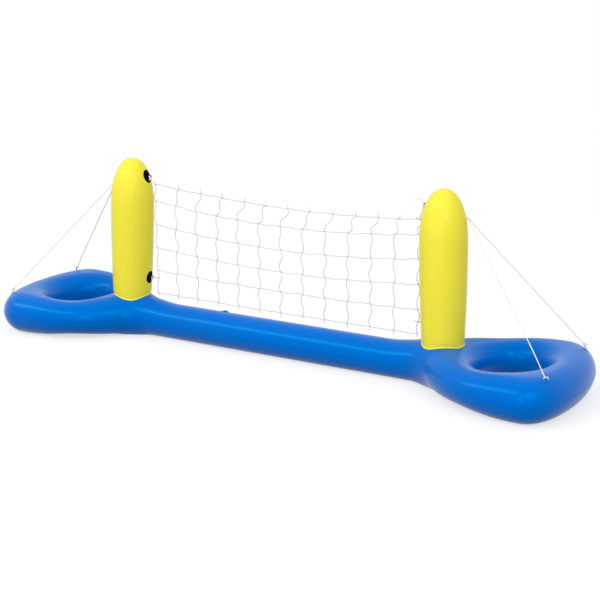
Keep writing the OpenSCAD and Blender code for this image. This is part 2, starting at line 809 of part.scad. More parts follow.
module valve_plug() {
    color("white") {
        translate([0, 0, cap_z]) cylinder(r = lip_r, h = cap_wall, $fn = 48);
        translate([0, 0, cap_z - shank_length])
            cylinder(r = air_r - valve_clearance, h = shank_length, $fn = 40);
    }
}

module on_post(side) {
    at_post(side) at_post_valve() children();
}

// -------------------------------------------------------------------- assembly

base_top_sheet();
base_bottom_sheet();
post_skin(-1);  // left_post_skin
post_skin(1);  // right_post_skin
post_weld_collar(-1);  // left_post_weld_collar
post_weld_collar(1);  // right_post_weld_collar
net_patch(-1, upper_patch_z);  // left_upper_net_patch
net_patch(-1, left_lower_patch_z);  // left_lower_net_patch
net_patch(1, upper_patch_z);  // right_upper_net_patch
net_patch(1, right_lower_patch_z);  // right_lower_net_patch
guy_patch(-1);  // left_guy_patch
guy_patch(1);  // right_guy_patch
ring_tab(-1, -1);  // left_front_ring_tab
ring_tab(-1, 1);  // left_back_ring_tab
ring_tab(1, -1);  // right_front_ring_tab
ring_tab(1, 1);  // right_back_ring_tab
net_mesh();
net_head_cord();
net_foot_cord();
net_tie(-1, upper_patch_z, knot(0, 0));  // left_upper_net_tie
net_tie(-1, left_lower_patch_z, side_cord(0, 0.33));  // left_lower_net_tie
net_tie(1, upper_patch_z, knot(net_columns - 1, 0));  // right_upper_net_tie
net_tie(1, right_lower_patch_z, side_cord(net_columns - 1, 0.5));  // right_lower_net_tie
guy_string(-1);  // left_guy_string
guy_string(1);  // right_guy_string
base_valve_flange();
at_base_valve() valve_stem();  // base_valve_stem
at_base_valve() valve_flap();  // base_valve_flap
at_base_valve() valve_plug();  // base_valve_plug
post_valve_flange(-1);  // left_valve_flange
on_post(-1) valve_stem();  // left_valve_stem
on_post(-1) valve_flap();  // left_valve_flap
on_post(-1) valve_plug();  // left_valve_plug
post_valve_flange(1);  // right_valve_flange
on_post(1) valve_stem();  // right_valve_stem
on_post(1) valve_flap();  // right_valve_flap
on_post(1) valve_plug();  // right_valve_plug
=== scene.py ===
import math

import bmesh
import bpy
import numpy as np
from bpy.props import FloatProperty, FloatVectorProperty, PointerProperty
from mathutils import Matrix, Vector


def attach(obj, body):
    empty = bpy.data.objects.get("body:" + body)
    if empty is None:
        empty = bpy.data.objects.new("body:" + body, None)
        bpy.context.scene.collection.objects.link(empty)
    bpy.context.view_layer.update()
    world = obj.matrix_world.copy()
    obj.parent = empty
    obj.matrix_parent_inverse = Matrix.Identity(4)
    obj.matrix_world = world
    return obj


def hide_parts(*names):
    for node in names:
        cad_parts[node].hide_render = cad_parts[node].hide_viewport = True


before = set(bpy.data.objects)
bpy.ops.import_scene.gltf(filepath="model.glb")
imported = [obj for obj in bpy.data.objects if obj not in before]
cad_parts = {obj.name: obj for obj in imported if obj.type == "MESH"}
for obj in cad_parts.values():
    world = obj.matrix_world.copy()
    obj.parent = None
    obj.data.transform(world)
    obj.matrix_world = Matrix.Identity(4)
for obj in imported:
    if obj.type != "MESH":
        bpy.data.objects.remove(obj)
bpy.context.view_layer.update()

bl_info = {
    "name": "Floating Volleyball Set",
    "version": (1, 0, 0),
    "blender": (4, 5, 0),
    "location": "View3D > Sidebar > Volleyball",
    "description": "Dresses the packed frame of a floating volleyball net with film, cord and valves",
    "category": "Object",
}

BODY = "net_set"
SIDES = ((-1, "left"), (1, "right"))

# The inflated base. All sizes and places are in metres, in the frame's own axes.
HALF_LENGTH = 1.220
TUBE_R, ARM_R, END_R = 0.070, 0.067, 0.0815
OUT_X = HALF_LENGTH - END_R
RING_ROOT_X = OUT_X - 0.4585
CORNER_X = OUT_X - 0.0685
RING_HALF_WIDTH = 0.215
FLARE_X = RING_ROOT_X - 0.2185
HOLE_X, HOLE_HALF_LENGTH, HOLE_HALF_WIDTH = 0.949, 0.116, 0.146
ROOT_BLEND, HOLE_BLEND, HOLE_SLOPE = 0.099, 0.030, 0.060
FLOOR_FLAT = 0.002
FILM_THICKNESS, WELD_THICKNESS = 0.0005, 0.0006

# The posts. Each leans by its own angle towards the net.
POST_X = RING_ROOT_X + 0.008
POST_TOP = 0.717
DOME_HEIGHT, DOME_POWER = 0.192, 2.2
SHOULDER_Z = POST_TOP - DOME_HEIGHT
POST_R, FOOT_R, WELD_R = 0.086, 0.0775, 0.075
WELD_Z, COLLAR_TOP = 0.150, 0.169
LEANS = {-1: math.radians(2.7), 1: math.radians(1.2)}

# The patches on the posts and the tabs on the rings, with the eyes of their loops.
UPPER_PATCH_Z, GUY_PATCH_Z = 0.651, 0.616
LOWER_PATCH_Z = {-1: 0.238, 1: 0.220}
PATCH_TURN = math.radians(8)
NET_PATCH_R, GUY_PATCH_R, TAB_R = 0.025, 0.015, 0.011
PATCH_THICKNESS, TAB_THICKNESS = 0.0011, 0.0009
PAD_LIFT = 0.0002
EYE_R, EYE_REACH = 0.0026, 0.010
NET_LOOP_ROD, SMALL_LOOP_ROD = 0.0022, 0.0010
PATCH_LOOP_SPREAD, TAB_LOOP_SPREAD = 0.0035, 0.0022
TAB_PLACE = (1.150, 0.206)
TAB_TURN = math.atan2(-TAB_PLACE[1], POST_X + POST_R - TAB_PLACE[0])
TAB_EYE_RISE, TAB_EYE_LEAN = 0.019, 0.007

# The strings and ties: how far they reach out of an eye, and their knots and loose ends.
STRING_D = 0.0036
STOPPER_OUT, STRING_OUT = 0.005, 0.00275
BEND = 0.0005
BEND_OUT = STRING_OUT + BEND
THREAD_DROP = 0.001
STOPPER_KNOT, TIE_KNOT, KNOT_ROD = 0.0026, 0.0034, 0.0012
STOPPER_TILT, TIE_TILT = 0.4, 0.5
LONG_TAIL = 0.045
TAIL_R = 0.45 * STRING_D

# The net. Its knots lie in columns and rows, which drop, tilt and sag, and the head cord's slide.
NET_COLUMNS = 13
NET_LEFT, NET_RIGHT, NET_TOP_Z = -0.557, 0.587, 0.621
ROW_DROP = (0, 0.066, 0.161, 0.256, 0.350, 0.444)
ROW_TILT = (0.022, 0.010, 0.005, 0.004, 0.004, 0.001)
ROW_SAG = (0.027, 0.039, 0.037, 0.027, 0.011, 0.003)
LAST_ROW, LAST_COLUMN = len(ROW_DROP) - 1, NET_COLUMNS - 1
HEAD_SLIDE = 0.034
HEAD_SWAY = 1.3
EDGE_SLACK, ROW_SLACK = 0.2, 0.35
STRAND_OUT = 0.002
NET_SEED = 11

# How finely the pieces are drawn.
CORD_SIDES, THIN_SIDES, KNOT_SIDES = 8, 6, 5
KNOT_STEPS, STRAND_STEPS = 24, 9
POST_STEPS, PAD_STEPS = 120, 48
SAME_PLACE = 1e-6


# ---------- settings

def colour(label, about, value):
    return FloatVectorProperty(name=label, description=about, default=value, min=0, max=1,
                               size=3, subtype="COLOR")


def length(label, about, value, low, high):
    return FloatProperty(name=label, description=about, default=value, min=low, max=high,
                         precision=4, unit="LENGTH", subtype="DISTANCE")


def amount(label, about, value, high, unit="NONE"):
    return FloatProperty(name=label, description=about, default=value, min=0, max=high, unit=unit)


class BaseSettings(bpy.types.PropertyGroup):
    film: colour("Film", "Colour of the inflated base", (0.0, 0.128, 0.535))
    film_deep: colour("Film Shade", "Darker tone of the base's film", (0.0, 0.114, 0.495))
    cell: length("Cell", "Size of the cells of the base's surface", 0.008, 0.005, 0.02)
    weld_width: length("Weld Width", "How far the weld stands out along the seam", 0.0008, 0.0004, 0.006)


class PostSettings(bpy.types.PropertyGroup):
    film: colour("Film", "Colour of the posts", (0.78, 0.695, 0.052))
    film_deep: colour("Film Shade", "Darker tone of the posts' film", (0.76, 0.675, 0.047))
    patch: colour("Patch", "Colour of the round patches", (0.002, 0.002, 0.0025))
    weld_width: length("Weld Width", "Width of the weld round a post's foot", 0.003, 0.002, 0.006)


class NetSettings(bpy.types.PropertyGroup):
    cord: colour("Cord", "Colour of the net's cords", (0.69, 0.69, 0.69))
    cord_d: length("Cord Thickness", "Thickness of the net's cords", 0.0031, 0.001, 0.004)
    wave: length("Wave", "How far the net's cords wander between knots", 0.006, 0, 0.015)
    knot: length("Knot", "Size of the net's knots", 0.00272, 0.002, 0.006)


class StringSettings(bpy.types.PropertyGroup):
    cord: colour("String", "Colour of the guy strings and ties", (0.83, 0.83, 0.825))
    tail: length("Tail", "Length of the loose ends at the knots", 0.016, 0.005, 0.04)


class ValveSettings(bpy.types.PropertyGroup):
    plastic: colour("Valve", "Colour of the posts' valves", (0.78, 0.72, 0.20))


class StageSettings(bpy.types.PropertyGroup):
    floor: colour("Floor", "Colour of the floor", (1.0, 1.0, 1.0))
    glow: amount("Glow", "Even white of the floor near the object, which pales the shadow", 0.64, 1)
    shade: colour("Shade", "Tone of the floor that takes the object's shadow", (0.34, 0.34, 0.34))
    bounce: colour("Bounce", "Tone with which the floor lights the object", (0.26, 0.26, 0.26))
    key: amount("Key", "Power of the key lamp", 116, 2000, "POWER")
    fill: amount("Fill", "Power of the fill lamp", 74, 2000, "POWER")
    strip: amount("Strip", "Power of the upright strip lamp", 30, 500, "POWER")
    rear: amount("Rear", "Power of the soft lamp behind the set", 36, 500, "POWER")
    sky: amount("Sky", "Strength of the even light from all round", 0.80, 2)


# ---------- materials

class Shader:
    """The node tree of a material or of the world, built up node by node."""

    def __init__(self, name, world=False):
        self.material = (bpy.data.worlds if world else bpy.data.materials).new(name)
        self.material.use_nodes = True
        self.tree = self.material.node_tree
        self.tree.nodes.clear()
        self.output = self.node("ShaderNodeOutputWorld" if world else "ShaderNodeOutputMaterial")

    def node(self, kind, **settings):
        n = self.tree.nodes.new(kind)
        for key, value in settings.items():
            setattr(n, key, value)
        return n

    def link(self, source, target):
        self.tree.links.new(source, target)

    def place(self):
        """The place in the object."""
        return self.node("ShaderNodeTexCoord").outputs["Object"]

    def split(self, vector):
        """The X, Y and Z outputs of a vector."""
        n = self.node("ShaderNodeSeparateXYZ")
        self.link(vector, n.inputs[0])
        return n.outputs

    def mark(self, name):
        """A value that the mesh keeps at each vertex."""
        return self.node("ShaderNodeAttribute", attribute_name=name).outputs["Fac"]

    def noise(self, scale, detail):
        n = self.node("ShaderNodeTexNoise")
        n.inputs["Scale"].default_value = scale
        n.inputs["Detail"].default_value = detail
        self.link(self.place(), n.inputs["Vector"])
        return n.outputs["Fac"]

    def math(self, operation, *values):
        n = self.node("ShaderNodeMath", operation=operation)
        for value, socket in zip(values, n.inputs):
            if isinstance(value, (int, float)):
                socket.default_value = value
            else:
                self.link(value, socket)
        return n.outputs[0]

    def between(self, factor, low, high, from_low=0.0):
        """Spreads a factor that runs from from_low to 1 between low and high."""
        n = self.node("ShaderNodeMapRange")
        n.inputs["From Min"].default_value = from_low
        n.inputs["To Min"].default_value = low
        n.inputs["To Max"].default_value = high
        self.link(factor, n.inputs["Value"])
        return n.outputs["Result"]

    def mix(self, factor, a, b):
        """The colour a where factor is 0, b where it is 1."""
        n = self.node("ShaderNodeMix", data_type="RGBA")
        self.link(factor, n.inputs["Factor"])
        for socket, value in (("A", a), ("B", b)):
            target = [s for s in n.inputs if s.name == socket and s.type == "RGBA"][0]
            target.default_value = (*value, 1)
        return [s for s in n.outputs if s.type == "RGBA"][0]

    def bump(self, height, distance, under=None):
        n = self.node("ShaderNodeBump")
        n.inputs["Distance"].default_value = distance
        self.link(height, n.inputs["Height"])
        if under is not None:
            self.link(under, n.inputs["Normal"])
        return n.outputs["Normal"]

    def joined(self, first, second):
        n = self.node("ShaderNodeAddShader")
        self.link(first, n.inputs[0])
        self.link(second, n.inputs[1])
        return n.outputs[0]

    def picked(self, factor, first, second):
        """The first shader where factor is 0, the second where it is 1."""
        n = self.node("ShaderNodeMixShader")
        self.link(factor, n.inputs["Fac"])
        self.link(first, n.inputs[1])
        self.link(second, n.inputs[2])
        return n.outputs[0]

    def two_faced(self, seen, lights):
        """Shows the first shader to the eye and in reflections, and lights with the second."""
        rays = self.node("ShaderNodeLightPath")
        direct = self.math("MAXIMUM", rays.outputs["Is Camera Ray"], rays.outputs["Is Glossy Ray"])
        direct = self.math("MAXIMUM", direct, rays.outputs["Is Transmission Ray"])
        self.link(self.picked(direct, lights, seen), self.output.inputs["Surface"])

    def plain(self, kind, colour, strength=None):
        """A shader of one colour."""
        n = self.node(kind)
        n.inputs["Color"].default_value = (*colour, 1)
        if strength is not None:
            n.inputs["Strength"].default_value = strength
        return n.outputs[0]

    def surface(self, **constants):
        """The main shader, with its constants on its own sockets."""
        n = self.node("ShaderNodeBsdfPrincipled")
        for key, value in constants.items():
            n.inputs[key.replace("_", " ")].default_value = value
        self.link(n.outputs["BSDF"], self.output.inputs["Surface"])
        return n


def folds(s, turn, count, scale, wander):
    """Folds where the film is puckered, count of them in a full turn, which wander a little."""
    shift = s.math("MULTIPLY", s.noise(scale, 1.0), wander)
    wave = s.math("SINE", s.math("ADD", s.math("MULTIPLY", turn, count), shift))
    return s.math("MULTIPLY", wave, s.mark("pucker"))


def hole_puckers(s):
    """Folds that fan out from the weld round each ring's hole."""
    place = s.split(s.place())
    out = s.math("SUBTRACT", s.math("ABSOLUTE", place["X"]), HOLE_X)
    return folds(s, s.math("ARCTAN2", place["Y"], out), count=46.0, scale=9.0, wander=9.0)


def foot_puckers(s):
    """Upright folds above the weld round a post's foot."""
    return folds(s, s.mark("turn"), count=34.0, scale=12.0, wander=8.0)


def film_material(name, settings, sheen, gloss, puckers):
    """Glossy welded vinyl: slightly uneven tone, soft waves, fine grain, folds at the welds."""
    s = Shader(name)
    body = s.surface(IOR=1.52, Specular_IOR_Level=gloss, Specular_Tint=(*sheen, 1))
    tone = s.mix(s.noise(5.0, 3.0), settings.film, settings.film_deep)
    s.link(tone, body.inputs["Base Color"])
    s.link(s.between(s.noise(40.0, 4.0), 0.21, 0.28), body.inputs["Roughness"])
    waves, grain = s.noise(14.0, 1.0), s.noise(500.0, 2.0)
    normal = None
    for height, depth in ((waves, 0.0006), (grain, 0.00002), (puckers(s), 0.0003)):
        normal = s.bump(height, depth, under=normal)
    s.link(normal, body.inputs["Normal"])
    return s.material


def cord_material(name, tint, groove_shade):
    """Twisted polyester cord: three strands run round the cord's own length, with painted shade darkening
    the grooves between them.
    """
    strands, grooves_per_metre = 3, 160
    s = Shader(name)
    body = s.surface(Roughness=0.62, IOR=1.46)
    uv = s.split(s.node("ShaderNodeUVMap", uv_map="UVMap").outputs["UV"])
    around = s.math("MULTIPLY", uv["X"], 2 * math.pi * strands)
    along = s.math("MULTIPLY", uv["Y"], 2 * math.pi * grooves_per_metre)
    twist = s.math("SINE", s.math("ADD", around, along))
    shade = s.between(twist, 0.0, 1.0, from_low=-1.0)
    fuzz = s.between(s.noise(300.0, 3.0), 0.8, 1.0)
    # Painted shade: the cord's colour is darkened in the grooves between the strands.
    deep = [groove_shade * c for c in tint]
    s.link(s.mix(s.math("MULTIPLY", shade, fuzz), deep, tint), body.inputs["Base Color"])
    s.link(s.bump(twist, 0.00015), body.inputs["Normal"])
    return s.material


def plastic_material(name, tint, roughness=0.4, gloss=0.2):
    """Moulded soft plastic with a fine grain."""
    s = Shader(name)
    body = s.surface(IOR=1.5, Specular_IOR_Level=gloss)
    deep = [0.8 * c for c in tint]
    s.link(s.mix(s.noise(60.0, 3.0), deep, tint), body.inputs["Base Color"])
    s.link(s.between(s.noise(200.0, 3.0), roughness - 0.06, roughness + 0.06), body.inputs["Roughness"])
    s.link(s.bump(s.noise(900.0, 2.0), 0.00004), body.inputs["Normal"])
    return s.material


def shared(name, make, *finish):
    """The material of that name, made the first time it is asked for."""
    return bpy.data.materials.get(name) or make(name, *finish)


def blue_film():
    settings = bpy.context.scene.volley_base
    return shared("blue_vinyl", film_material, settings, (0.0, 0.72, 1.0), 0.28, hole_puckers)


def yellow_film():
    settings = bpy.context.scene.volley_post
    return shared("yellow_vinyl", film_material, settings, (1.0, 0.95, 0.75), 0.10, foot_puckers)


def black_vinyl():
    return shared("black_patch", plastic_material, bpy.context.scene.volley_post.patch, 0.7, 0.02)


def net_cord():
    return shared("net_cord", cord_material, bpy.context.scene.volley_net.cord, 0.72)


def white_string():
    return shared("string_cord", cord_material, bpy.context.scene.volley_string.cord, 0.76)


def valve_plastic():
    return shared("valve_plastic", plastic_material, bpy.context.scene.volley_valve.plastic)


def base_valve_plastic():
    return shared("base_valve_plastic", plastic_material, bpy.context.scene.volley_base.film)


# ---------- mesh helpers

def new_object(name, mesh):
    """An object at the origin that holds the mesh, shaded smooth."""
    obj = bpy.data.objects.new(name, mesh)
    bpy.context.scene.collection.objects.link(obj)
    for face in mesh.polygons:
        face.use_smooth = True
    return obj


def finished(name, bm, material, slot, stands_for=()):
    """The bmesh as a piece that rides on the set's body and stands for its nodes."""
    mesh = bpy.data.meshes.new(name)
    bm.to_mesh(mesh)
    bm.free()
    mesh.materials.append(material)
    obj = new_object(name, mesh)
    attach(obj, BODY)
    if stands_for:
        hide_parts(*stands_for)
    return obj


def wall(obj, thickness, offset=-1.0):
    """Gives a sheet its thickness: inwards, or to both sides with the offset 0."""
    solid = obj.modifiers.new("wall", "SOLIDIFY")
    solid.thickness = thickness
    solid.offset = offset


def places(bm):
    return np.array([v.co for v in bm.verts])


def set_places(bm, points):
    for v, p in zip(bm.verts, points):
        v.co = p


def mark(bm, name, values):
    """Keeps a value at each vertex, for the materials."""
    layer = bm.verts.layers.float.new(name)
    for v, value in zip(bm.verts, values):
        v[layer] = value


def turned(bm, profile, steps):
    """Turns a profile of radii and heights round the upright axis."""
    verts = [bm.verts.new((r, 0, z)) for r, z in profile]
    edges = [bm.edges.new(pair) for pair in zip(verts, verts[1:])]
    bmesh.ops.spin(bm, geom=verts + edges, axis=(0, 0, 1), cent=(0, 0, 0), angle=2 * math.pi,
                   steps=steps, use_merge=True)
    bmesh.ops.remove_doubles(bm, verts=bm.verts, dist=SAME_PLACE)


def smooth_path(points, per_span):
    """A Catmull-Rom line through the points."""
    p = [Vector(q) for q in points]
    p = [2 * p[0] - p[1], *p, 2 * p[-1] - p[-2]]
    line = []
    for a, b, c, d in zip(p, p[1:], p[2:], p[3:]):
        for i in range(per_span):
            t = i / per_span
            line.append(0.5 * (2 * b + (c - a) * t + (2 * a - 5 * b + 4 * c - d) * t ** 2
                               + (3 * b - a - 3 * c + d) * t ** 3))
    return line + [p[-2]]


def path_length(points):
    return sum((b - a).length for a, b in zip(points, points[1:]))


def sweep(bm, path, radius, sides):
    """A round cord along the path: a circle extruded from point to point."""
    p = [Vector(q) for q in path]
    last = len(p) - 1
    uv = bm.loops.layers.uv.verify()
    turn = bm.verts.layers.float.new("turn")
    along = bm.verts.layers.float.new("along")
    heading = [(p[min(i + 1, last)] - p[max(i - 1, 0)]).normalized() for i in range(last + 1)]
    spin = Vector((0, 0, 1)).rotation_difference(heading[0])
    place = Matrix.LocRotScale(p[0], spin, None)
    ring = bmesh.ops.create_circle(bm, cap_ends=True, segments=sides, radius=radius, matrix=place)["verts"]
    for k, v in enumerate(ring):
        v[turn] = k / sides
    edges = list({e for v in ring for e in v.link_edges})
    run = 0.0
    for i in range(1, last + 1):
        grown = bmesh.ops.extrude_edge_only(bm, edges=edges)["geom"]
        ring = [g for g in grown if isinstance(g, bmesh.types.BMVert)]
        fresh = set(ring)
        edges = [g for g in grown if isinstance(g, bmesh.types.BMEdge)
                 and g.verts[0] in fresh and g.verts[1] in fresh]
        spin = heading[i - 1].rotation_difference(heading[i]) @ spin
        now = Matrix.LocRotScale(p[i], spin, None)
        bmesh.ops.transform(bm, matrix=now @ place.inverted(), verts=ring)
        place = now
        run += (p[i] - p[i - 1]).length
        for v in ring:
            v[along] = run
        for f in (g for g in grown if isinstance(g, bmesh.types.BMFace)):
            # The face that closes the circle carries the pattern on to 1.
            closes = max(loop.vert[turn] for loop in f.loops) > 0.75
            for loop in f.loops:
                u = loop.vert[turn]
                loop[uv].uv = (u + 1 if closes and u < 0.25 else u, loop.vert[along])
    bmesh.ops.edgeloop_fill(bm, edges=edges)
    bmesh.ops.recalc_face_normals(bm, faces=bm.faces)


def add_cord(bm, path, radius, sides):
    """Adds a round cord, closed by itself, to what bm holds."""
    part = bmesh.new()
    sweep(part, path, radius, sides)
    mesh = bpy.data.meshes.new("part")
    part.to_mesh(mesh)
    part.free()
    bm.from_mesh(mesh)
    bpy.data.meshes.remove(mesh)


def knot_line(centre, size, tilt):
    """The line of an overhand knot, drawn tight round centre."""
    turn = Matrix.Rotation(tilt, 3, "Y") @ Matrix.Rotation(math.pi / 2, 3, "X")
    line = []
    for i in range(KNOT_STEPS + 1):
        t = 2 * math.pi * i / KNOT_STEPS
        q = Vector((math.sin(t) + 2 * math.sin(2 * t),
                    math.cos(t) - 2 * math.cos(2 * t),
                    -1.6 * math.sin(3 * t)))
        line.append(centre + turn @ q * size / 3)
    return line


def tail_line(start, heading, size):
    """A loose end that leaves start along its heading and droops."""
    ahead = Vector(heading).normalized()
    reach_and_droop = ((0, 0), (0.4, 0), (0.8, 0.125), (1, 0.3))
    return smooth_path([start + size * (reach * ahead - Vector((0, 0, droop)))
                        for reach, droop in reach_and_droop], 3)


# ---------- the base's surface

def bezier(corners, steps):
    """The points of a cubic curve between the first and the last corner."""
    a, b, c, d = (np.array(corner) for corner in corners)
    t = np.linspace(0, 1, steps + 1)[:, None]
    s = 1 - t
    return s ** 3 * a + 3 * s * s * t * b + 3 * s * t * t * c + t ** 3 * d


# The middle line of a ring's bar: the arm from root to corner, then the nose, carried on a little
# past the middle. The bar is thinnest half way along the arm.
ARM_STEPS, NOSE_STEPS, PAST_MIDDLE = 42, 30, 7
ARM_LINE = bezier(((RING_ROOT_X, 0), (RING_ROOT_X + 0.140, 0.197),
                   (CORNER_X - 0.207, RING_HALF_WIDTH), (CORNER_X, RING_HALF_WIDTH)), ARM_STEPS)
ARM_RADII = END_R + (ARM_R - END_R) * np.sin(np.pi * np.linspace(0, 1, ARM_STEPS + 1)) ** 2
HALF_NOSE = bezier(((CORNER_X, RING_HALF_WIDTH), (CORNER_X + 0.053, RING_HALF_WIDTH),
                    (OUT_X, 0.074), (OUT_X, 0)), NOSE_STEPS)
WIDTH_LINE = np.vstack([ARM_LINE, HALF_NOSE[1:]])
NOSE_LINE = np.vstack([HALF_NOSE, HALF_NOSE[-2:-2 - PAST_MIDDLE:-1] * (1, -1)])
NOSE_RADII = np.full(len(NOSE_LINE), END_R)


def tube_at(x):
    """Radius of the centre tube, which flares towards the rings."""
    u = np.clip((np.abs(x) - FLARE_X) / (RING_ROOT_X - FLARE_X), 0, 1)
    return TUBE_R + (END_R - TUBE_R) * u * u * (3 - 2 * u)


def seam_z(x):
    """Height of the seam between the two sheets."""
    return tube_at(x) - FLOOR_FLAT


def bar_depth(line, radii, x, y):
    """Squared half height of a round bar along the line."""
    best = np.full(np.shape(x), -1.0)
    for a, b, ra, rb in zip(line, line[1:], radii, radii[1:]):
        d = b - a
        t = np.clip(((x - a[0]) * d[0] + (y - a[1]) * d[1]) / (d @ d), 0, 1)
        away = (x - a[0] - t * d[0]) ** 2 + (y - a[1] - t * d[1]) ** 2
        best = np.maximum(best, (ra + t * (rb - ra)) ** 2 - away)
    return best


def blend_max(a, b, k):
    """The larger of a and b, rounded where they differ by less than k."""
    h = np.maximum(k - np.abs(a - b), 0) / k
    return np.maximum(a, b) + h * h * k / 4


def from_hole(x, y):
    """Distance outward from the edge of a ring's oval hole."""
    far = np.hypot(x - HOLE_X, y)
    share = np.hypot((x - HOLE_X) / HOLE_HALF_LENGTH, y / HOLE_HALF_WIDTH)
    return far - far / np.maximum(share, 1e-6)


def base_depth(x, y):
    """Squared half height of the inflated base at x, y."""
    x, y = np.abs(x), np.abs(y)
    tube = tube_at(x) ** 2 - y * y - np.maximum(x - RING_ROOT_X, 0) ** 2
    arms = np.maximum(bar_depth(ARM_LINE, ARM_RADII, x, y), bar_depth(ARM_LINE, ARM_RADII, x, -y))
    ring = np.maximum(arms, bar_depth(NOSE_LINE, NOSE_RADII, x, y))
    r = np.interp(x, ARM_LINE[:, 0], ARM_RADII)
    within = (x > RING_ROOT_X) & (x < OUT_X) & (y < np.interp(x, WIDTH_LINE[:, 0], WIDTH_LINE[:, 1]))
    ring = np.where(within, np.maximum(ring, r * r), ring)
    short = r - from_hole(x, y)
    side = np.where(short > 0, r * r - short * short, r * r - HOLE_SLOPE * short)
    ring = -blend_max(-blend_max(tube, ring, ROOT_BLEND ** 2), -side, HOLE_BLEND ** 2)
    return np.where(x < FLARE_X, tube, ring)


def base_slope(x, y, h=0.0002):
    """How base_depth changes along x and along y."""
    return ((base_depth(x + h, y) - base_depth(x - h, y)) / (2 * h),
            (base_depth(x, y + h) - base_depth(x, y - h)) / (2 * h))


def top_z(x, y):
    """Height of the base's top at x, y."""
    return seam_z(x) + np.sqrt(np.maximum(base_depth(x, y), 0))


def onto_base(p, rounds, longest_step=0.006):
    """Moves points, whose z is measured from the seam, onto the base's surface."""
    for _ in range(rounds):
        fx, fy = base_slope(p[:, 0], p[:, 1])
        g = np.stack([fx, fy, -2 * p[:, 2]], 1)
        f = base_depth(p[:, 0], p[:, 1]) - p[:, 2] ** 2
        step = -(f / np.maximum((g * g).sum(1), 1e-6))[:, None] * g
        size = np.linalg.norm(step, axis=1)[:, None]
        p = p + step * np.minimum(1, longest_step / np.maximum(size, 1e-9))
    return p


def rough_base():
    """A stepped slab of the base's outline, the start of the smooth skin."""
    half_length, half_width, step = 1.224, 0.300, 0.012
    edge_depth, least_depth = 0.0002, 0.0001
    bm = bmesh.new()
    columns, rows = round(2 * half_length / step), round(2 * half_width / step)
    bmesh.ops.create_grid(bm, x_segments=columns, y_segments=rows, size=1,
                          matrix=Matrix.Diagonal((half_length, half_width, 1, 1)))
    p = places(bm)
    inside = base_depth(p[:, 0], p[:, 1]) > edge_depth
    bmesh.ops.delete(bm, geom=[v for v, keep in zip(bm.verts, inside) if not keep], context="VERTS")
    lower = list(bm.verts)
    upper = [g for g in bmesh.ops.extrude_face_region(bm, geom=bm.faces[:])["geom"]
             if isinstance(g, bmesh.types.BMVert)]
    for sign, verts in ((-1, lower), (1, upper)):
        q = np.array([v.co for v in verts])
        half = np.sqrt(np.maximum(base_depth(q[:, 0], q[:, 1]), least_depth))
        for v, h in zip(verts, half):
            v.co.z = sign * h
    bmesh.ops.recalc_face_normals(bm, faces=bm.faces)
    return bm


def inflated_base(cell):
    """The base's closed skin, with z measured from the seam."""
    bm = rough_base()
    mesh = bpy.data.meshes.new("rough_base")
    bm.to_mesh(mesh)
    bm.free()
    rough = new_object("rough_base", mesh)
    remesh = rough.modifiers.new("even", "REMESH")
    remesh.mode = "VOXEL"
    remesh.voxel_size = cell
    bpy.context.view_layer.update()
    even = bpy.data.meshes.new_from_object(rough.evaluated_get(bpy.context.evaluated_depsgraph_get()))
    bm = bmesh.new()
    bm.from_mesh(even)
    bpy.data.objects.remove(rough)
    bpy.data.meshes.remove(mesh)
    bpy.data.meshes.remove(even)
    for _ in range(5):
        for _ in range(2):
            bmesh.ops.smooth_vert(bm, verts=bm.verts, factor=0.5,
                                  use_axis_x=True, use_axis_y=True, use_axis_z=True)
        set_places(bm, onto_base(places(bm), 3))
    set_places(bm, onto_base(places(bm), 4))
    return bm


def half_base(whole, up):
    """One sheet: the skin above or below the seam, with a straight seam edge."""
    snap, short_edge = 0.0018, 0.0002
    bm = whole.copy()
    bmesh.ops.bisect_plane(bm, geom=bm.verts[:] + bm.edges[:] + bm.faces[:], dist=snap,
                           plane_co=(0, 0, 0), plane_no=(0, 0, up), clear_inner=True)
    bmesh.ops.dissolve_degenerate(bm, edges=bm.edges, dist=short_edge)
    seam = [v for v in bm.verts if v.is_boundary]
    p = np.array([v.co for v in seam])
    p[:, 2] = 0
    for v, q in zip(seam, onto_base(p, 4)):
        v.co = (q[0], q[1], 0)
    for e in bm.edges:
        e.smooth = not e.is_boundary
    return bm


def mark_hole_puckers(bm):
    """Marks where the film folds: by the weld round a ring's hole."""
    rim_height = 0.020
    p = places(bm)
    fx, fy = base_slope(p[:, 0], p[:, 1])
    out = np.abs(p[:, 0]) - HOLE_X
    rises_outward = fx * np.sign(p[:, 0]) * out + fy * p[:, 1] > 0
    inner = rises_outward & (np.abs(p[:, 0]) > RING_ROOT_X)
    mark(bm, "pucker", np.where(inner, np.exp(-(p[:, 2] / rim_height) ** 2), 0))


def lift_to_seam(bm):
    """Turns z measured from the seam into z above the floor."""
    p = places(bm)
    p[:, 2] = np.maximum(0, p[:, 2] + seam_z(p[:, 0]))
    set_places(bm, p)


def face_outwards(bm, up):
    """Points a sheet's faces out of the base: up on the top sheet, down on the bottom one."""
    bmesh.ops.recalc_face_normals(bm, faces=bm.faces)
    high = max(bm.faces, key=lambda f: up * f.calc_center_median().z)
    if high.normal.z * up < 0:
        bmesh.ops.reverse_faces(bm, faces=bm.faces)


def weld_flange(sheet, width):
    """The thin welded edge that stands out along the seam of the two sheets."""
    bm = sheet.copy()
    grown = bmesh.ops.extrude_edge_only(bm, edges=[e for e in bm.edges if e.is_boundary])["geom"]
    verts = [g for g in grown if isinstance(g, bmesh.types.BMVert)]
    keep = {g for g in grown if isinstance(g, bmesh.types.BMFace)}
    p = np.array([v.co for v in verts])
    fx, fy = base_slope(p[:, 0], p[:, 1])
    size = np.hypot(fx, fy)
    for v, dx, dy in zip(verts, -fx / size, -fy / size):
        v.co.x += width * dx
        v.co.y += width * dy
    bmesh.ops.delete(bm, geom=[f for f in bm.faces if f not in keep], context="FACES")
    bmesh.ops.recalc_face_normals(bm, faces=bm.faces)
    return bm


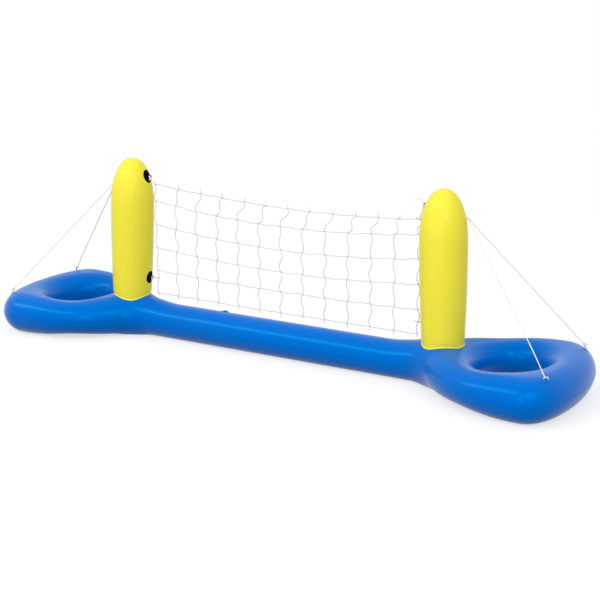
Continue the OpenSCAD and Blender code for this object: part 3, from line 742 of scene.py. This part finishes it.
# ---------- places on the posts and tabs

def post_r_at(z):
    """Radius of a post at the height z."""
    z = np.asarray(z, float)
    down = (SHOULDER_Z - z) / (SHOULDER_Z - COLLAR_TOP)
    wall_r = POST_R - (POST_R - FOOT_R) * down ** 2
    up = np.clip((z - SHOULDER_Z) / DOME_HEIGHT, 0, 1)
    dome_r = POST_R * (1 - up ** DOME_POWER) ** (1 / DOME_POWER)
    return np.where(z < COLLAR_TOP, FOOT_R, np.where(z < SHOULDER_Z, wall_r, dome_r))


def post_frame(side):
    """A post's own frame, which leans from the foot towards the net."""
    foot = Vector((side * POST_X, 0, COLLAR_TOP))
    return (Matrix.Translation(foot) @ Matrix.Rotation(-side * LEANS[side], 4, "Y")
            @ Matrix.Translation((0, 0, -COLLAR_TOP)))


def near_eye(side, z, face, out=0.0, along=0.0, up=0.0):
    """A point near a patch's eye: how far out of it, along it to the back, and up."""
    r, c, s = float(post_r_at(z)) + EYE_REACH + out, math.cos(PATCH_TURN), math.sin(PATCH_TURN)
    return post_frame(side) @ Vector((face * (r * c - along * s), r * s + along * c, z + up))


def tab_lean(side, back):
    """The way that a ring tab's loop leans, towards the post."""
    return Vector((side * math.cos(TAB_TURN), back * math.sin(TAB_TURN), 0))


def tab_eye(side, back):
    """The middle of the eye in a ring tab's loop."""
    x, y = TAB_PLACE
    above = Vector((side * x, back * y, float(top_z(x, y)) + TAB_EYE_RISE))
    return above + TAB_EYE_LEAN * tab_lean(side, back)


def on_post(side, z, face):
    """Lays a point u, v, height round a patch's middle on the post's film."""
    def place(u, v, height):
        r = float(post_r_at(z + v)) + height + PAD_LIFT
        turn = PATCH_TURN + u / r
        return post_frame(side) @ Vector((face * r * math.cos(turn), r * math.sin(turn), z + v))
    return place


def on_ring(side, back):
    """Lays a point u, v, height round a tab's middle on the ring's film."""
    def place(u, v, height):
        x, y = TAB_PLACE[0] + u, TAB_PLACE[1] + v
        return Vector((side * x, back * y, float(top_z(x, y)) + height + PAD_LIFT))
    return place


# ---------- operators

# The camera's place and turn, and its lens in pixels of a square render.
CAMERA_PLACE = (2.452826, -4.105195, 1.575938)
CAMERA_TURN, CAMERA_PITCH, CAMERA_ROLL = 0.520556, 0.275909, -0.004656
LENS_PIXELS, RENDER_PIXELS = 1301.23, 600
SENSOR_WIDTH = 36


class VOLLEY_OT_camera(bpy.types.Operator):
    """Place the camera that looks down the set's long side"""
    bl_idname = "volley.camera"
    bl_label = "Camera"

    def execute(self, context):
        level, rise = math.cos(CAMERA_PITCH), math.sin(CAMERA_PITCH)
        forward = Vector((-math.sin(CAMERA_TURN) * level, math.cos(CAMERA_TURN) * level, -rise))
        right = Vector((math.cos(CAMERA_TURN), math.sin(CAMERA_TURN), 0))
        up = right.cross(forward)
        side = math.cos(CAMERA_ROLL) * right + math.sin(CAMERA_ROLL) * up
        top = math.cos(CAMERA_ROLL) * up - math.sin(CAMERA_ROLL) * right
        data = bpy.data.cameras.new("camera")
        data.sensor_width = SENSOR_WIDTH
        data.lens = SENSOR_WIDTH * LENS_PIXELS / RENDER_PIXELS
        camera = bpy.data.objects.new("camera", data)
        turn = Matrix((side, top, -forward)).transposed().to_4x4()
        camera.matrix_world = Matrix.Translation(CAMERA_PLACE) @ turn
        context.scene.collection.objects.link(camera)
        context.scene.camera = camera
        return {"FINISHED"}


def guy_path(side):
    """The string's line: front ring tab, guy patch, back ring tab."""
    patch_eye = near_eye(side, GUY_PATCH_Z, side)

    def climb_from(back):
        eye = tab_eye(side, back)
        through = Vector((-side * math.sin(TAB_TURN), back * math.cos(TAB_TURN), 0))
        climb = patch_eye - eye
        return [
            eye + STOPPER_OUT * through,
            eye,
            eye - STRING_OUT * through,
            eye - BEND_OUT * through + 0.02 * climb,
            *[eye + share * climb for share in (0.15, 0.3, 0.45, 0.6, 0.75, 0.9)],
            near_eye(side, GUY_PATCH_Z, side, BEND, back * BEND_OUT, -THREAD_DROP),
        ]

    return [*climb_from(-1), patch_eye, *reversed(climb_from(1))]


class VOLLEY_OT_guy_strings(bpy.types.Operator):
    """Make the two guy strings that hold the posts to the rings"""
    bl_idname = "volley.guy_strings"
    bl_label = "Guy Strings"

    def execute(self, context):
        tail = context.scene.volley_string.tail
        for side, name in SIDES:
            path = smooth_path(guy_path(side), 6)
            bm = bmesh.new()
            sweep(bm, path, STRING_D / 2, CORD_SIDES)
            string = finished(f"{name}_guy_cord", bm, white_string(), "white_cord", [f"{name}_guy_string"])
            knots = bmesh.new()
            for end in (path[0], path[-1]):
                add_cord(knots, knot_line(end, STOPPER_KNOT, STOPPER_TILT), KNOT_ROD, THIN_SIDES)
                back = 1 if end.y > 0 else -1
                for lean in (-0.5, 0.7):
                    heading = (side * lean, back, 0.25)
                    add_cord(knots, tail_line(end, heading, tail), STRING_D / 2, THIN_SIDES)
            stoppers = finished(f"{name}_guy_knots", knots, white_string(), "white_cord")
            tuple(path[0])
            round(path_length(path), 3)
            [tuple(p) for p in path]
        return {"FINISHED"}


class VOLLEY_OT_base(bpy.types.Operator):
    """Make the inflated base: top sheet, bottom sheet and the weld between them"""
    bl_idname = "volley.base"
    bl_label = "Inflated Base"

    def execute(self, context):
        settings = context.scene.volley_base
        whole = inflated_base(settings.cell)
        sheets = [("top", half_base(whole, 1), 1), ("bottom", half_base(whole, -1), -1)]
        whole.free()
        flange = weld_flange(sheets[0][1], settings.weld_width)
        for name, bm, up in sheets:
            mark_hole_puckers(bm)
            lift_to_seam(bm)
            face_outwards(bm, up)
            film = finished(f"base_{name}_film", bm, blue_film(), "blue_film", [f"base_{name}_sheet"])
            wall(film, FILM_THICKNESS)
        lift_to_seam(flange)
        weld = finished("base_weld", flange, blue_film(), "blue_film")
        wall(weld, WELD_THICKNESS, 0.0)
        return {"FINISHED"}


def post_rows():
    """Heights of a post's rows, closer together by the foot and on the dome."""
    foot = (0.1585, 0.163, 0.169, 0.175)
    upright = np.linspace(0.182, SHOULDER_Z, 60)
    dome = SHOULDER_Z + DOME_HEIGHT * np.sin(np.radians(np.linspace(2, 88, 40))) ** (2 / DOME_POWER)
    return np.concatenate([foot, upright, dome])


def post_profile(weld_width):
    """A post's radii and heights, from the weld's bead up to the top."""
    bead = WELD_R + weld_width
    rises = ((bead, 0), (bead, 0.0008), (bead - 0.0006, 0.0013), (WELD_R + 0.0012, 0.0014),
             (WELD_R + 0.0003, 0.0020), (WELD_R + 0.0004, 0.0040))
    profile = [(r, WELD_Z + rise) for r, rise in rises]
    for z in post_rows():
        drawn_in = 0.12 * max(0.0, COLLAR_TOP - z)
        profile.append((float(post_r_at(max(z, COLLAR_TOP))) - drawn_in, z))
    return profile + [(0.0, POST_TOP)]


def post_skin(side, weld_width):
    """A post's film. Its foot follows the base's surface, and the rest its own leaning frame."""
    weld_lift = 0.0008
    folds_from, foot_end, blend_rise, fold_rise = 0.153, 0.156, 0.034, 0.022
    bm = bmesh.new()
    turned(bm, post_profile(weld_width), POST_STEPS)
    p = places(bm)
    turn, height = np.arctan2(p[:, 1], side * p[:, 0]), p[:, 2]
    foot = p + (side * POST_X, 0, 0)
    foot[:, 2] += top_z(foot[:, 0], foot[:, 1]) + weld_lift - WELD_Z
    bmesh.ops.transform(bm, matrix=post_frame(side), verts=bm.verts)
    share = np.clip((height - foot_end) / blend_rise, 0, 1)[:, None]
    weight = 1 - share * share * (3 - 2 * share)
    set_places(bm, weight * foot + (1 - weight) * places(bm))
    fade = np.exp(-np.maximum(0, (height - foot_end) / fold_rise) ** 2)
    mark(bm, "pucker", np.where(height > folds_from, fade, 0))
    mark(bm, "turn", np.abs(turn))
    bmesh.ops.recalc_face_normals(bm, faces=bm.faces)
    return bm


class VOLLEY_OT_posts(bpy.types.Operator):
    """Make the two inflated posts with the weld at their feet"""
    bl_idname = "volley.posts"
    bl_label = "Posts"

    def execute(self, context):
        for side, name in SIDES:
            bm = post_skin(side, context.scene.volley_post.weld_width)
            film = finished(f"{name}_post_film", bm, yellow_film(), "yellow_film",
                            [f"{name}_post_skin", f"{name}_post_weld_collar"])
            wall(film, FILM_THICKNESS)
        return {"FINISHED"}


def pad(place, radius, thickness):
    """A round pad with a pressed ring; place lays a point u, v, height on the film."""
    middle = [(r, 1) for r in (0, 0.2, 0.4, 0.58, 0.74)]
    edge = [(0.78, 0.5), (0.83, 0.5), (0.87, 1), (0.96, 0.9), (1, 0.5)]
    back = [(r, 0) for r in (1, 0.8, 0.6, 0.4, 0.2, 0)]
    bm = bmesh.new()
    turned(bm, [(r * radius, z * thickness) for r, z in middle + edge + back], PAD_STEPS)
    for v in bm.verts:
        v.co = place(*v.co)
    bmesh.ops.recalc_face_normals(bm, faces=bm.faces)
    return bm


def loop_line(place, reach, size, spread):
    """A loop that stands up from the film and turns round an eye at the height reach."""
    turns = np.radians(np.linspace(125, -125, 17))
    around = [(reach + size * math.cos(a), size * math.sin(a)) for a in turns]
    return smooth_path([place(h, w) for h, w in [(0, spread), *around, (0, -spread)]], 2)


class VOLLEY_OT_patches(bpy.types.Operator):
    """Make the round patches on the posts and the tabs on the rings, each with its loop"""
    bl_idname = "volley.patches"
    bl_label = "Patches and Tabs"

    def execute(self, context):
        for side, end in SIDES:
            net_patch = (-side, NET_PATCH_R, NET_LOOP_ROD, black_vinyl(), "black_vinyl")
            guy_patch = (side, GUY_PATCH_R, SMALL_LOOP_ROD, yellow_film(), "yellow_film")
            for node, z, (face, radius, rod, material, slot) in (
                    (f"{end}_upper_net_patch", UPPER_PATCH_Z, net_patch),
                    (f"{end}_lower_net_patch", LOWER_PATCH_Z[side], net_patch),
                    (f"{end}_guy_patch", GUY_PATCH_Z, guy_patch)):
                bm = pad(on_post(side, z, face), radius, PATCH_THICKNESS)
                line = loop_line(lambda h, w: near_eye(side, z, face, h - EYE_REACH, 0, w),
                                 EYE_REACH, rod + EYE_R, PATCH_LOOP_SPREAD)
                add_cord(bm, line, rod, CORD_SIDES)
                finished(f"{node}_pad", bm, material, slot, [node])
            for back, corner in ((-1, "front"), (1, "back")):
                place, eye, lean = on_ring(side, back), tab_eye(side, back), tab_lean(side, back)
                foot = place(0, 0, 0)
                bm = pad(place, TAB_R, TAB_THICKNESS)
                line = loop_line(lambda h, w: foot.lerp(eye, h / TAB_EYE_RISE) + w * lean,
                                 TAB_EYE_RISE, SMALL_LOOP_ROD + EYE_R, TAB_LOOP_SPREAD)
                add_cord(bm, line, SMALL_LOOP_ROD, THIN_SIDES)
                finished(f"{end}_{corner}_tab_pad", bm, blue_film(), "blue_film",
                         [f"{end}_{corner}_ring_tab"])
        return {"FINISHED"}


def net_knot(c, r):
    """The place of the net's knot in column c and row r."""
    f = c / LAST_COLUMN
    slide = HEAD_SLIDE * (1 - (2 * f - 1) ** 4) if r == 0 else 0.0
    drop = ROW_DROP[r] + ROW_TILT[r] * f + ROW_SAG[r] * 4 * f * (1 - f)
    return Vector((NET_LEFT + (NET_RIGHT - NET_LEFT) * f + slide, 0, NET_TOP_Z - drop))


def strand_line(a, b, sway, bow, out):
    """A slack cord from a to b: an S of size sway, a bow, and a little depth."""
    run = b - a
    across = Vector((-run.z, 0, run.x)).normalized()
    line = []
    for i in range(STRAND_STEPS + 1):
        t = i / STRAND_STEPS
        swing = sway * math.sin(2 * math.pi * t) + bow * math.sin(math.pi * t)
        line.append(a + t * run + across * swing + Vector((0, out * math.sin(math.pi * t), 0)))
    return line


class VOLLEY_OT_net(bpy.types.Operator):
    """Make the knotted net with its head and foot cords"""
    bl_idname = "volley.net"
    bl_label = "Net"

    def execute(self, context):
        settings = context.scene.volley_net
        wave, radius = settings.wave, settings.cord_d / 2
        knot_radius, end_radius = 0.9 * radius, 0.85 * radius
        chance = np.random.default_rng(NET_SEED).uniform
        cords, head, foot, knots = (bmesh.new() for _ in range(4))
        for r in range(LAST_ROW):
            for c in range(NET_COLUMNS):
                sway = wave * chance(0.6, 1.2) * (HEAD_SWAY if r == 0 else 1.0)
                flip = -1 if c % 2 else 1
                line = strand_line(net_knot(c, r), net_knot(c, r + 1), flip * sway,
                                   wave * chance(-0.4, 0.4), chance(-STRAND_OUT, STRAND_OUT))
                add_cord(cords, line, radius, THIN_SIDES)
        for r in range(LAST_ROW + 1):
            bm = {0: head, LAST_ROW: foot}.get(r, cords)
            slack = wave * (EDGE_SLACK if r in (0, LAST_ROW) else ROW_SLACK)
            for c in range(LAST_COLUMN):
                line = strand_line(net_knot(c, r), net_knot(c + 1, r), slack * chance(-1, 1),
                                   -slack * chance(0.2, 0.9), chance(-STRAND_OUT, STRAND_OUT))
                add_cord(bm, line, radius, THIN_SIDES)
        for r in range(LAST_ROW + 1):
            for c in range(NET_COLUMNS):
                place = net_knot(c, r)
                add_cord(knots, knot_line(place, settings.knot, chance(-0.6, 0.6)), knot_radius, KNOT_SIDES)
                if r in (0, LAST_ROW):
                    up, share = (1, 1.0) if r == 0 else (-1, 0.7)
                    reach = share * chance(0.012, 0.022)
                    lean = reach * chance(-0.35, 0.35)
                    end = [place, place + Vector((0.3 * lean, -0.001, 0.5 * up * reach)),
                           place + Vector((lean, 0.001, up * reach))]
                    add_cord(knots, smooth_path(end, 3), end_radius, THIN_SIDES)
        for bm, name, nodes in ((cords, "net_cords", ["net_mesh"]),
                                (head, "net_head_rope", ["net_head_cord"]),
                                (foot, "net_foot_rope", ["net_foot_cord"]),
                                (knots, "net_knots", [])):
            finished(name, bm, net_cord(), "white_cord", nodes)
        return {"FINISHED"}


def tie_path(side, z, end):
    """A tie's line: from its stopper through the patch's eye to the net."""
    moves = ((0, STOPPER_OUT, 0), (0, 0, 0), (0, -STRING_OUT, 0), (0.002, -BEND_OUT, 0),
             (0.0085, -STRING_OUT, (end.z - z) / 3))
    return [*[near_eye(side, z, -side, *move) for move in moves], end]


class VOLLEY_OT_ties(bpy.types.Operator):
    """Make the four ties that hold the net to the posts' patches"""
    bl_idname = "volley.ties"
    bl_label = "Net Ties"

    def execute(self, context):
        tail = context.scene.volley_string.tail
        for side, end in SIDES:
            column, share = (0, 0.33) if end == "left" else (LAST_COLUMN, 0.5)
            head_corner = net_knot(column, 0)
            side_cord = net_knot(column, LAST_ROW - 1).lerp(net_knot(column, LAST_ROW), share)
            for level, z, tied in (("upper", UPPER_PATCH_Z, head_corner),
                                   ("lower", LOWER_PATCH_Z[side], side_cord)):
                line = tie_path(side, z, tied)
                stopper, front_of_eye = line[0], line[2]
                bm = bmesh.new()
                add_cord(bm, smooth_path(line, 5), STRING_D / 2, CORD_SIDES)
                for place in (stopper, front_of_eye, tied):
                    add_cord(bm, knot_line(place, TIE_KNOT, TIE_TILT), KNOT_ROD, THIN_SIDES)
                tails = [(tied, (-side * 0.9, -0.5, 0.5), tail)]
                if (end, level) == ("right", "upper"):
                    tails.append((stopper, (-1, 0.3, 0.75), LONG_TAIL))
                elif end == "left":
                    tails += [(front_of_eye, (0.5, -0.8, -0.5), tail),
                              (front_of_eye, (0.8, -0.5, -0.9), 0.7 * tail)]
                for start, heading, size in tails:
                    add_cord(bm, tail_line(start, heading, size), TAIL_R, THIN_SIDES)
                finished(f"{end}_{level}_tie", bm, white_string(), "white_cord", [f"{end}_{level}_net_tie"])
        return {"FINISHED"}


class VOLLEY_OT_valves(bpy.types.Operator):
    """Finish the valves of the base and the posts"""
    bl_idname = "volley.valves"
    bl_label = "Valves"

    def execute(self, context):
        for name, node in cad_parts.items():
            if "_valve_" in name:
                plastic = base_valve_plastic() if name.startswith("base") else valve_plastic()
                node.data.materials.clear()
                node.data.materials.append(plastic)
        return {"FINISHED"}


# Each lamp's place, the point it is aimed at, its width and height.
LAMPS = {
    "key": ((-2.35, -3.05, 3.2), (-1.75, 0, 0), (5.5, 0.7)),
    "fill": ((3.6, -3.2, 3.0), (0, 0, 0.2), (2.4, 2.4)),
    "strip": ((1.45, -3.9, 1.2), (0, 0, 0.4), (0.12, 2.2)),
    "rear": ((0.6, 4.4, 2.0), (0, 0, 0.35), (4.5, 1.6)),
}
FLOOR_SIZE = 60
ALL_WHITE_FROM, ALL_WHITE_TO = 1.6, 4.5


def aimed_lamp(name, power, place, target, size):
    """A soft rectangular lamp that shines from its place towards the target."""
    data = bpy.data.lights.new(name, "AREA")
    data.shape = "RECTANGLE"
    data.size, data.size_y = size
    data.energy = power
    lamp = bpy.data.objects.new(name, data)
    lamp.location = place
    lamp.rotation_euler = (Vector(target) - Vector(place)).to_track_quat("-Z", "Y").to_euler()
    bpy.context.scene.collection.objects.link(lamp)
    return lamp


def floor_material(settings):
    """A white floor that takes a pale shadow near the object and is all white further away."""
    s = Shader("stage_floor")
    near = s.joined(s.plain("ShaderNodeEmission", settings.floor, settings.glow),
                    s.plain("ShaderNodeBsdfDiffuse", settings.shade))
    away = s.node("ShaderNodeVectorMath", operation="LENGTH")
    s.link(s.place(), away.inputs[0])
    far = s.node("ShaderNodeMapRange", interpolation_type="SMOOTHSTEP")
    far.inputs["From Min"].default_value = ALL_WHITE_FROM
    far.inputs["From Max"].default_value = ALL_WHITE_TO
    s.link(away.outputs["Value"], far.inputs["Value"])
    white = s.plain("ShaderNodeEmission", settings.floor, 1.0)
    s.two_faced(s.picked(far.outputs["Result"], near, white),
                s.plain("ShaderNodeBsdfDiffuse", settings.bounce))
    return s.material


def sky_world(settings):
    """A white surround that lights the object evenly."""
    s = Shader("sky", world=True)
    s.two_faced(s.plain("ShaderNodeBackground", settings.floor, 1.0),
                s.plain("ShaderNodeBackground", (1, 1, 1), settings.sky))
    return s.material


class VOLLEY_OT_stage(bpy.types.Operator):
    """Make the floor, the even light and the lamps"""
    bl_idname = "volley.stage"
    bl_label = "Stage"

    def execute(self, context):
        settings = context.scene.volley_stage
        bm = bmesh.new()
        bmesh.ops.create_grid(bm, x_segments=1, y_segments=1, size=FLOOR_SIZE)
        mesh = bpy.data.meshes.new("floor")
        bm.to_mesh(mesh)
        bm.free()
        mesh.materials.append(floor_material(settings))
        new_object("floor", mesh)
        context.scene.world = sky_world(settings)
        for name, (place, target, size) in LAMPS.items():
            lamp = aimed_lamp(name, getattr(settings, name), place, target, size)
            lamp.visible_glossy = name != "rear"
        context.scene.view_settings.view_transform = "Standard"
        return {"FINISHED"}


SETTINGS = (("volley_base", BaseSettings), ("volley_post", PostSettings),
            ("volley_net", NetSettings), ("volley_string", StringSettings),
            ("volley_valve", ValveSettings), ("volley_stage", StageSettings))
OPERATORS = (VOLLEY_OT_camera, VOLLEY_OT_guy_strings, VOLLEY_OT_base, VOLLEY_OT_posts, VOLLEY_OT_patches,
             VOLLEY_OT_net, VOLLEY_OT_ties, VOLLEY_OT_valves, VOLLEY_OT_stage)


class VOLLEY_PT_panel(bpy.types.Panel):
    """Lists the set's settings and the steps that make it"""
    bl_idname = "VOLLEY_PT_panel"
    bl_label = "Volleyball Set"
    bl_space_type = "VIEW_3D"
    bl_region_type = "UI"
    bl_category = "Volleyball"

    def draw(self, context):
        for name, group in SETTINGS:
            box = self.layout.box()
            for key in group.__annotations__:
                box.prop(getattr(context.scene, name), key)
        for operator in OPERATORS:
            self.layout.operator(operator.bl_idname)


def register():
    for name, group in SETTINGS:
        bpy.utils.register_class(group)
        setattr(bpy.types.Scene, name, PointerProperty(type=group))
    for operator in (*OPERATORS, VOLLEY_PT_panel):
        bpy.utils.register_class(operator)


def unregister():
    for operator in (VOLLEY_PT_panel, *reversed(OPERATORS)):
        bpy.utils.unregister_class(operator)
    for name, group in reversed(SETTINGS):
        delattr(bpy.types.Scene, name)
        bpy.utils.unregister_class(group)


def main():
    register()
    for operator in OPERATORS:
        family, step = operator.bl_idname.split(".")
        getattr(getattr(bpy.ops, family), step)()


if __name__ == "__main__":
    main()
